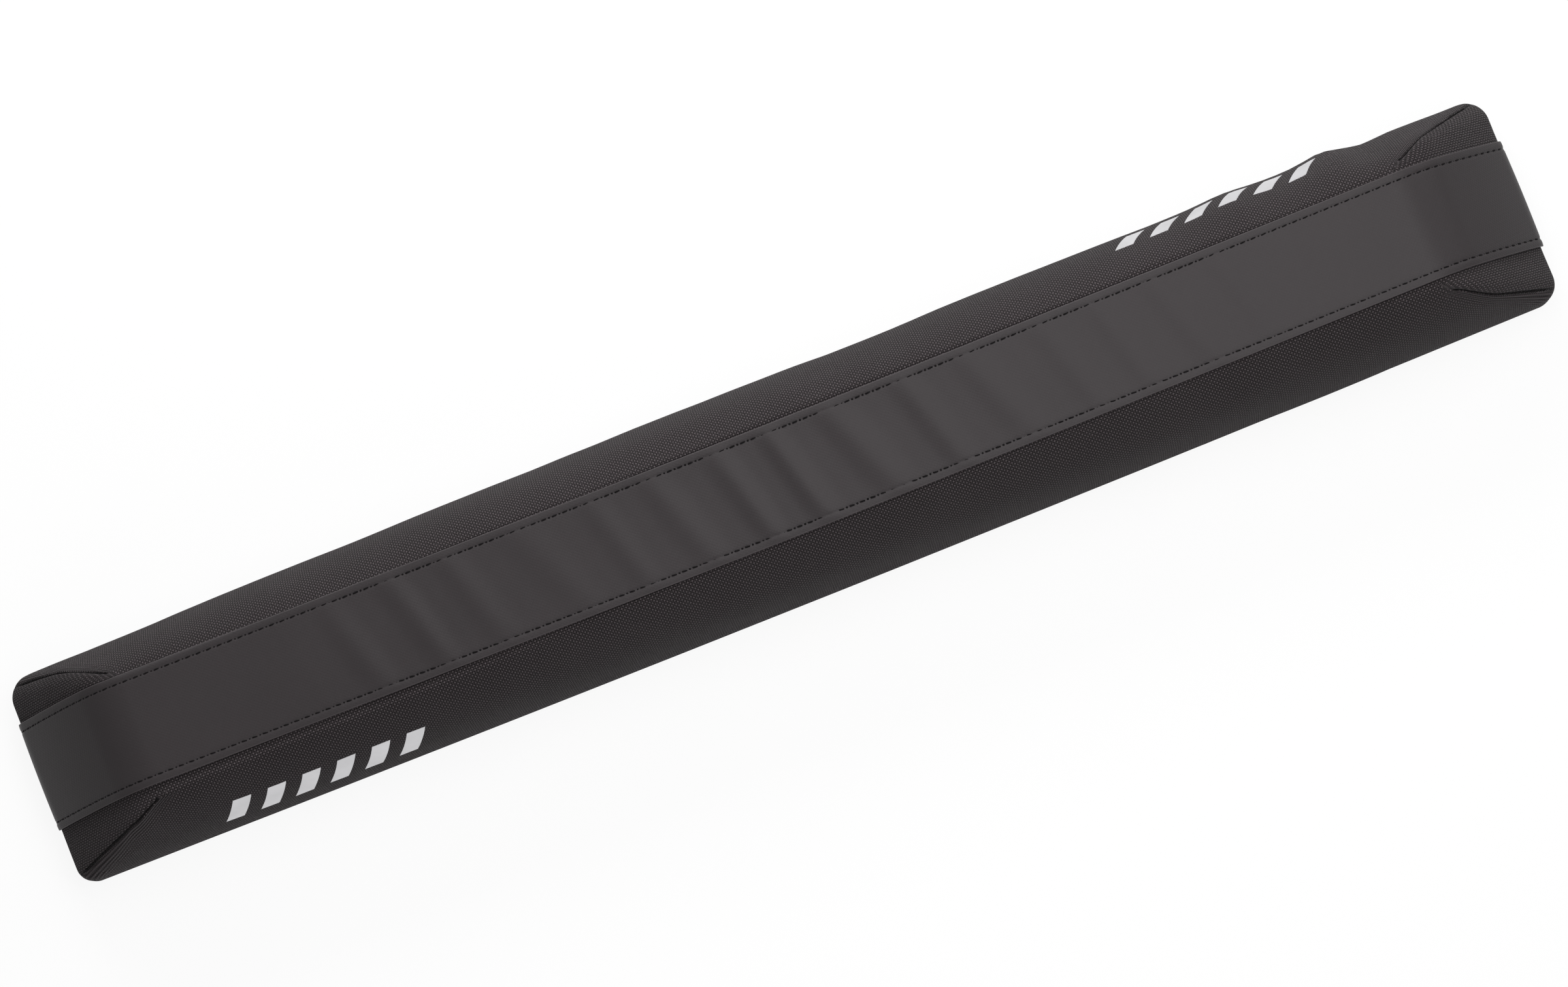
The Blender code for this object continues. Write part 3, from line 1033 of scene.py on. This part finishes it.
def node(tree, kind, **values):
    """New node of a kind with its properties set."""
    made = tree.nodes.new(kind)
    for key, value in values.items():
        setattr(made, key, value)
    return made


def maths(tree, operation, a, b=None, c=None, clamp=False):
    """Math node on links or numbers; returns its output."""
    made = node(tree, "ShaderNodeMath", operation=operation, use_clamp=clamp)
    for socket, value in zip(made.inputs, (a, b, c)):
        if value is None:
            continue
        if isinstance(value, (int, float)):
            socket.default_value = value
        else:
            tree.links.new(value, socket)
    return made.outputs[0]


def times(tree, a, b):
    return maths(tree, "MULTIPLY", a, b)


def plus(tree, base, value, factor):
    """base with value added by a factor."""
    return maths(tree, "MULTIPLY_ADD", value, factor, base)


def blend(tree, a, b, factor):
    """a where factor is 0 and b where it is 1."""
    rest = times(tree, a, maths(tree, "SUBTRACT", 1.0, factor))
    return plus(tree, rest, b, factor)


def tint(tree, base, factor):
    """Colour of base darkened or lightened by a factor link."""
    mix = node(tree, "ShaderNodeVectorMath", operation="SCALE")
    mix.inputs[0].default_value = base
    tree.links.new(factor, mix.inputs["Scale"])
    return mix.outputs[0]


def dress(tree, shader, base, tone, normal):
    """Give a shader its colour, base times tone, and its normal."""
    tree.links.new(tint(tree, base, tone), shader.inputs["Base Color"])
    tree.links.new(normal, shader.inputs["Normal"])


def split_axes(tree, vector):
    """The three numbers of a vector link."""
    made = node(tree, "ShaderNodeSeparateXYZ")
    tree.links.new(vector, made.inputs[0])
    return made.outputs


def cloth_uv(tree):
    uv = node(tree, "ShaderNodeUVMap")
    uv.uv_map = "cloth"
    return uv.outputs[0]


def object_place(tree):
    return node(tree, "ShaderNodeTexCoord").outputs["Object"]


def bump(tree, height, strength, distance, below=None):
    """Normal from a height, over the normal below it."""
    made = node(tree, "ShaderNodeBump")
    made.inputs["Strength"].default_value = strength
    made.inputs["Distance"].default_value = distance
    tree.links.new(height, made.inputs["Height"])
    if below is not None:
        tree.links.new(below, made.inputs["Normal"])
    return made.outputs[0]


def noise_factor(tree, vector, scale, detail=3.0):
    made = node(tree, "ShaderNodeTexNoise")
    made.inputs["Scale"].default_value = scale
    made.inputs["Detail"].default_value = detail
    tree.links.new(vector, made.inputs["Vector"])
    return made.outputs[0]


def cells(tree, vector, scale, randomness=1.0):
    """Distance to the nearest of many scattered points."""
    made = node(tree, "ShaderNodeTexVoronoi")
    made.inputs["Scale"].default_value = scale
    made.inputs["Randomness"].default_value = randomness
    tree.links.new(vector, made.inputs["Vector"])
    return made.outputs[0]


def weave_group():
    """Plain weave: height, holes between threads, and where the warp is on top."""
    if "woven_cloth" in bpy.data.node_groups:
        return bpy.data.node_groups["woven_cloth"]
    group = bpy.data.node_groups.new("woven_cloth", "ShaderNodeTree")
    face = group.interface
    face.new_socket("Cloth", in_out="INPUT", socket_type="NodeSocketVector")
    threads = face.new_socket("Threads per metre", in_out="INPUT", socket_type="NodeSocketFloat")
    threads.default_value = COVER_THREADS
    for name in ("Height", "Holes", "Floats"):
        face.new_socket(name, in_out="OUTPUT", socket_type="NodeSocketFloat")
    start = node(group, "NodeGroupInput")
    end = node(group, "NodeGroupOutput")
    scale = node(group, "ShaderNodeVectorMath", operation="SCALE")
    group.links.new(start.outputs["Cloth"], scale.inputs[0])
    group.links.new(start.outputs["Threads per metre"], scale.inputs["Scale"])
    drift = plus(group, -0.25, noise_factor(group, scale.outputs[0], 0.35, 1.0), 0.5)
    sines = []
    for place in list(split_axes(group, scale.outputs[0]))[:2]:
        turn = times(group, maths(group, "ADD", place, drift), math.pi)
        sines.append(maths(group, "SINE", turn))
    size_a, size_b = [maths(group, "ABSOLUTE", sine) for sine in sines]
    warp = maths(group, "GREATER_THAN", times(group, *sines), 0.0)
    weft = maths(group, "SUBTRACT", 1.0, warp)
    top_a, top_b = [times(group, maths(group, "POWER", across, 0.5), plus(group, 0.5, along, 0.5))
                    for along, across in ((size_a, size_b), (size_b, size_a))]
    height = plus(group, times(group, top_b, weft), top_a, warp)
    larger = maths(group, "MAXIMUM", size_a, size_b)
    holes = maths(group, "MULTIPLY_ADD", larger, -1.2, 1.0, clamp=True)
    crown = maths(group, "POWER", times(group, size_a, size_b), 1.4)
    group.links.new(height, end.inputs["Height"])
    group.links.new(holes, end.inputs["Holes"])
    group.links.new(times(group, crown, warp), end.inputs["Floats"])
    return group


def weave_on(tree, cloth, threads):
    """Outputs of the weave laid on a cloth vector."""
    weave = node(tree, "ShaderNodeGroup", node_tree=weave_group())
    weave.inputs["Threads per metre"].default_value = threads
    tree.links.new(cloth, weave.inputs["Cloth"])
    return weave.outputs


def hip_ribs(tree):
    """Beside a hip seam: mask of the drawn-up cloth, the ribs of its threads, the seam's shade."""
    way = node(tree, "ShaderNodeAttribute", attribute_name="hip_way").outputs["Fac"]
    beyond = maths(tree, "SUBTRACT", way, RIB_START)
    near = maths(tree, "SUBTRACT", 1.0, maths(tree, "DIVIDE", beyond, RIB_REACH), clamp=True)
    begun = maths(tree, "MULTIPLY", beyond, 3000.0, clamp=True)
    turns = times(tree, beyond, 2 * math.pi / RIB_PITCH)
    rib = plus(tree, 0.5, maths(tree, "COSINE", turns), -0.5)
    drawn = times(tree, maths(tree, "POWER", near, 0.6), begun)
    away = maths(tree, "DIVIDE", maths(tree, "ABSOLUTE", way), SEAM_SHADE)
    shade = maths(tree, "POWER", maths(tree, "MINIMUM", away, 1.0), 1.5)
    return drawn, rib, plus(tree, 0.08, shade, 0.92)


def woven(name, base, threads, relief, ribs=False):
    """Black woven polyester: threads, with a painted highlight on the warp floats, painted shade in the
    holes between them and where the threads dip, and a faint unevenness.
    """
    material, tree, shader = new_material(name)
    uv = cloth_uv(tree)
    weave = weave_on(tree, uv, threads)
    fibre = noise_factor(tree, uv, threads * 2.2, 2.0)
    tone = plus(tree, 0.30, noise_factor(tree, object_place(tree), 25.0), 0.25)
    # painted highlight: the warp floats made lighter, standing in for their glints
    tone = plus(tree, tone, weave["Floats"], 1.35)
    tone = plus(tree, tone, fibre, 0.35)
    # painted shade in the holes between the threads
    tone = times(tree, tone, plus(tree, 1.0, weave["Holes"], -0.95))
    # painted shade where the threads dip, lighter where they stand high
    tone = times(tree, tone, plus(tree, 0.5, weave["Height"], 0.7))
    height = weave["Height"]
    if ribs:
        drawn, rib, shade = hip_ribs(tree)
        # painted light and shade on the ribs beside the hip seams: lighter on their crests, darker between
        # them
        crest = plus(tree, 0.25, maths(tree, "POWER", rib, 2.0), 1.35)
        tone = blend(tree, tone, crest, times(tree, drawn, 0.85))
        tone = times(tree, tone, shade)
        height = blend(tree, height, times(tree, rib, 1.5), drawn)
    fine = bump(tree, fibre, 0.15, 0.0001)
    dress(tree, shader, base, tone, bump(tree, height, 1.0, relief, fine))
    rough = plus(tree, CLOTH_ROUGHNESS, fibre, 0.15)
    tree.links.new(plus(tree, rough, weave["Floats"], -0.25), shader.inputs["Roughness"])
    shader.inputs["Specular IOR Level"].default_value = 0.08
    shader.inputs["Sheen Weight"].default_value = 0.09
    shader.inputs["Sheen Roughness"].default_value = 0.35
    return material


def grip_rubber():
    """Rubber-coated strip: weave printed through the coat, fine grain, and a painted highlight along both
    edges.
    """
    material, tree, shader = new_material("grip_rubber")
    uv = cloth_uv(tree)
    bias = node(tree, "ShaderNodeMapping")
    bias.inputs["Rotation"].default_value = (0.0, 0.0, STRIP_BIAS)
    tree.links.new(uv, bias.inputs["Vector"])
    weave = weave_on(tree, bias.outputs["Vector"], STRIP_THREADS)
    grain = noise_factor(tree, uv, 2600.0, 2.0)
    cloud = noise_factor(tree, object_place(tree), 18.0, 4.0)
    side = maths(tree, "ABSOLUTE", split_axes(tree, uv)[1])
    # painted highlight: a lighter band along both edges of the strip
    rim = maths(tree, "MULTIPLY", maths(tree, "SUBTRACT", side, STRIP_HALF_Y - STRIP_HIGHLIGHT_WIDTH),
                2500.0, clamp=True)
    tone = plus(tree, 0.84, cloud, 0.22)
    tone = plus(tree, tone, grain, 0.10)
    tone = plus(tree, tone, noise_factor(tree, uv, 420.0, 2.0), 0.05)
    tone = plus(tree, tone, weave["Height"], 0.09)
    tone = plus(tree, tone, rim, 0.7)
    print_through = bump(tree, weave["Height"], 0.22, 0.0002)
    dress(tree, shader, STRIP_COLOUR, tone, bump(tree, grain, 0.12, 0.00012, print_through))
    rough = plus(tree, plus(tree, 0.35, grain, 0.10), cloud, 0.06)
    tree.links.new(rough, shader.inputs["Roughness"])
    shader.inputs["Specular IOR Level"].default_value = 0.15
    return material


def thread_finish():
    """Black bonded thread with a twist along it, made once and shared."""
    if "bonded_thread" in bpy.data.materials:
        return bpy.data.materials["bonded_thread"]
    material, tree, shader = new_material("bonded_thread")
    place = object_place(tree)
    twist = node(tree, "ShaderNodeTexWave", wave_type="BANDS", bands_direction="DIAGONAL")
    twist.inputs["Scale"].default_value = 900.0
    tree.links.new(place, twist.inputs["Vector"])
    tone = plus(tree, 0.5, twist.outputs[1], 0.5)
    tone = plus(tree, tone, noise_factor(tree, place, 3000.0, 2.0), 0.4)
    dress(tree, shader, THREAD_COLOUR, tone, bump(tree, twist.outputs[1], 0.4, 0.0001))
    shader.inputs["Roughness"].default_value = 0.7
    shader.inputs["Specular IOR Level"].default_value = 0.08
    return material


def foam():
    """Cut face of closed-cell foam."""
    material, tree, shader = new_material("foam")
    cell = cells(tree, object_place(tree), 900.0)
    dress(tree, shader, FOAM_COLOUR, plus(tree, 0.7, cell, 0.5), bump(tree, cell, 0.4, 0.0003))
    shader.inputs["Roughness"].default_value = 0.92
    return material


def loop_pile():
    """Napped loop side of the closure."""
    material, tree, shader = new_material("loop_pile")
    fuzz = noise_factor(tree, cloth_uv(tree), 2200.0, 4.0)
    dress(tree, shader, LOOP_COLOUR, plus(tree, 0.4, fuzz, 1.2), bump(tree, fuzz, 0.8, 0.0004))
    shader.inputs["Roughness"].default_value = 0.95
    shader.inputs["Sheen Weight"].default_value = 0.3
    return material


def hook_nylon():
    """Stiff hook side of the closure."""
    material, tree, shader = new_material("hook_nylon")
    hooks = cells(tree, cloth_uv(tree), 800.0, 0.25)
    peak = maths(tree, "SUBTRACT", 1.0, hooks, clamp=True)
    dress(tree, shader, HOOK_COLOUR, peak, bump(tree, peak, 0.9, 0.0006))
    shader.inputs["Roughness"].default_value = 0.45
    return material


def silver_film():
    """Silver-grey reflective transfer, made once and shared."""
    if "silver_film" in bpy.data.materials:
        return bpy.data.materials["silver_film"]
    material, tree, shader = new_material("silver_film")
    place = object_place(tree)
    beads = noise_factor(tree, place, 4000.0, 1.0)
    tone = plus(tree, 0.76, noise_factor(tree, place, 60.0), 0.30)
    tone = plus(tree, tone, beads, 0.10)
    dress(tree, shader, FILM_COLOUR, tone, bump(tree, beads, 0.15, 0.0001))
    shader.inputs["Metallic"].default_value = 0.8
    shader.inputs["Roughness"].default_value = 0.42
    return material


# Room, light and camera

def seen_as_background(tree):
    """1 where a surface or the world is seen directly or in a reflection, and 0 elsewhere."""
    path = node(tree, "ShaderNodeLightPath")
    seen = maths(tree, "MAXIMUM", path.outputs["Is Camera Ray"], path.outputs["Is Glossy Ray"])
    return maths(tree, "MAXIMUM", seen, path.outputs["Is Transmission Ray"])


def make_floor():
    bpy.ops.object.select_all(action="DESELECT")
    bpy.ops.mesh.primitive_plane_add(size=30.0, location=(0.0, 0.0, -0.0002))
    floor = bpy.context.object
    floor.name = "floor"
    material, tree, shader = new_material("pale_floor")
    shader.inputs["Roughness"].default_value = 0.9
    glow = node(tree, "ShaderNodeEmission")
    glow.inputs["Strength"].default_value = 1.0
    seen = seen_as_background(tree)
    pale = node(tree, "ShaderNodeMix", data_type="RGBA")
    tree.links.new(seen, pale.inputs["Factor"])
    pale.inputs["A"].default_value = (0.28, 0.28, 0.28, 1.0)
    pale.inputs["B"].default_value = (0.92, 0.92, 0.92, 1.0)
    tree.links.new(pale.outputs["Result"], shader.inputs["Base Color"])
    share = times(tree, seen, 0.90)
    mix = node(tree, "ShaderNodeMixShader")
    tree.links.new(share, mix.inputs[0])
    tree.links.new(shader.outputs[0], mix.inputs[1])
    tree.links.new(glow.outputs[0], mix.inputs[2])
    tree.links.new(mix.outputs[0], tree.nodes["Material Output"].inputs["Surface"])
    floor.data.materials.append(material)


def make_world():
    world = bpy.data.worlds.new("studio")
    bpy.context.scene.world = world
    world.use_nodes = True
    tree = world.node_tree
    room = tree.nodes["Background"]
    room.inputs["Color"].default_value = (1.0, 1.0, 1.0, 1.0)
    room.inputs["Strength"].default_value = 0.17
    white = node(tree, "ShaderNodeBackground")
    white.inputs["Strength"].default_value = 1.0
    mix = node(tree, "ShaderNodeMixShader")
    tree.links.new(seen_as_background(tree), mix.inputs[0])
    tree.links.new(room.outputs[0], mix.inputs[1])
    tree.links.new(white.outputs[0], mix.inputs[2])
    tree.links.new(mix.outputs[0], tree.nodes["World Output"].inputs["Surface"])


def softbox(name, place, size, power):
    data = bpy.data.lights.new(name, "AREA")
    data.shape = "RECTANGLE"
    data.size, data.size_y = size
    data.energy = power
    lamp = bpy.data.objects.new(name, data)
    bpy.context.scene.collection.objects.link(lamp)
    lamp.visible_camera = False
    lamp.location = place
    lamp.rotation_euler = (-Vector(place)).to_track_quat("-Z", "Y").to_euler()


def make_lights():
    softbox("softbox_far", (0.12, 1.25, 0.75), (0.9, 0.4), 14.8)
    softbox("softbox_above", (0.30, 0.10, 1.05), (1.2, 0.6), 7.9)
    softbox("softbox_right", (1.4, 0.5, 0.8), (0.7, 0.9), 4.3)
    softbox("fill_near", (-0.42, -1.35, 0.85), (1.2, 0.9), 6.0)


def make_camera():
    data = bpy.data.cameras.new("camera")
    data.sensor_width = SENSOR_MM
    data.lens = PIXELS_PER_METRE * CAMERA_DISTANCE / IMAGE_WIDTH_PX * SENSOR_MM
    camera = bpy.data.objects.new("camera", data)
    bpy.context.scene.collection.objects.link(camera)
    tilt, turn = math.radians(CAMERA_ELEVATION), math.radians(PAD_TURN)
    back = Vector((0.0, -math.cos(tilt), math.sin(tilt)))
    level_right = Vector((1.0, 0.0, 0.0))
    level_up = back.cross(level_right)
    right = level_right * math.cos(turn) - level_up * math.sin(turn)
    up = level_right * math.sin(turn) + level_up * math.cos(turn)
    aim = Vector((0.0, 0.0, STRIP_HIGH.z))
    aim -= (right * PAD_SHIFT_PX[0] + up * PAD_SHIFT_PX[1]) / PIXELS_PER_METRE
    place = aim + back * CAMERA_DISTANCE
    axes = Matrix((right, up, back)).transposed().to_4x4()
    camera.matrix_world = Matrix.Translation(place) @ axes
    bpy.context.scene.camera = camera


def main():
    bpy.context.scene.view_settings.view_transform = "Standard"
    make_world()
    make_lights()
    make_camera()
    make_floor()
    cover, seams = make_cover()
    make_core()
    make_strip()
    make_liner()
    make_flap("near_closure", near_flap_path(), "near_flap")
    make_flap("far_closure", far_flap_path(), "far_flap")
    make_tape("loop_side", "loop_tape", loop_pile())
    make_tape("hook_side", "hook_tape", hook_nylon())
    sew_strip()
    sew_hip_rows(seams)
    sew_closure()
    make_bars("silver_bars_near", cover, NEAR_BARS_X, -1.0, NEAR_BAR_LOW_Z)
    make_bars("silver_bars_far", cover, FAR_BARS_X, 1.0, FAR_BAR_LOW_Z)


main()
